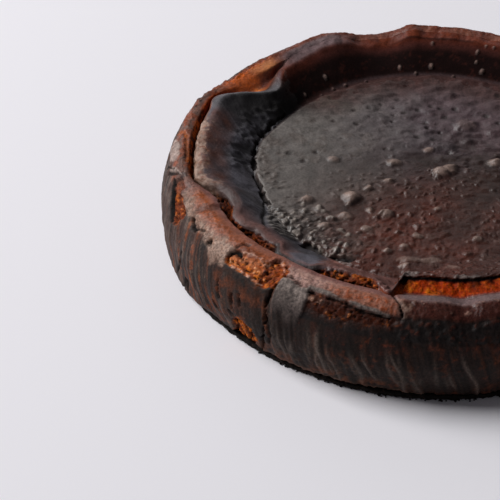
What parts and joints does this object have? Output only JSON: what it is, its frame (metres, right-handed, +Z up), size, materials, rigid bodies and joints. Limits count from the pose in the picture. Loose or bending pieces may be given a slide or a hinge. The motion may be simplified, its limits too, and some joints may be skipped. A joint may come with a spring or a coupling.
{
  "type": "basque cheesecake",
  "caption": "Whole round baked cheesecake with a scorched skin, a rolled and split rim, a sunken blistered top and a thin dark crumb base.",
  "frame": {"origin": "centre of the flat underside", "axes": "+Z up out of the cake's top, -Y towards the side that the picture shows in front, +X to the picture's right"},
  "size_m": [0.2309, 0.2305, 0.04],
  "materials": {
    "baked_custard": "scorched custard skin, charcoal brown to mauve brown, satin, with orange crumb bared where it split",
    "dark_crumb": "pressed crumb, near black, matte and gritty"
  },
  "bodies": {
    "root": {"cheesecake": "baked_custard", "crumb_base": "dark_crumb"}
  },
  "joints": []
}
